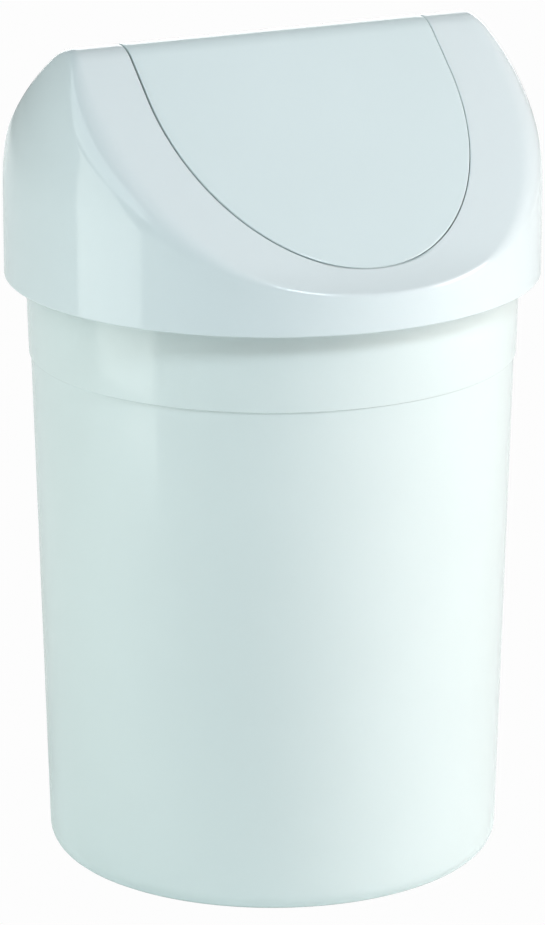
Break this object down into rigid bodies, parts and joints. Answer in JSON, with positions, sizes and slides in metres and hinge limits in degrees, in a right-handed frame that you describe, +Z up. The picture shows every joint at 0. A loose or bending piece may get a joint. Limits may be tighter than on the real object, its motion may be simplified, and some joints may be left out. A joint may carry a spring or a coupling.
{
  "type": "swing-lid waste bin",
  "caption": "Round tapered waste bin with a lift-off domed hood and a roof-shaped swing flap that opens towards the front or the rear.",
  "frame": {"origin": "on the bin's vertical axis at the floor, bottom centre of the whole object", "axes": "+Z up, the ridge and the flap's pivot axis along X, the front of the bin faces -Y"},
  "size_m": [0.26, 0.26, 0.4092],
  "materials": {
    "bucket_plastic": "glossy white moulded plastic with a faint cool tint",
    "hood_plastic": "glossy white moulded plastic with a faint cool tint",
    "flap_plastic": "glossy white moulded plastic with a faint cool tint"
  },
  "bodies": {
    "bucket": {"bucket": "bucket_plastic"},
    "hood": {"hood": "hood_plastic"},
    "flap": {"flap": "flap_plastic"}
  },
  "joints": [
    {"name": "hood_lift", "type": "slide", "parent": "bucket", "child": "hood", "axis": [0, 0, 1], "range_m": [0, 0.12]},
    {"name": "flap_swing", "type": "hinge", "parent": "hood", "child": "flap", "pos_m": [0, 0, 0.39067], "axis": [1, 0, 0], "range_deg": [-60, 60]}
  ]
}
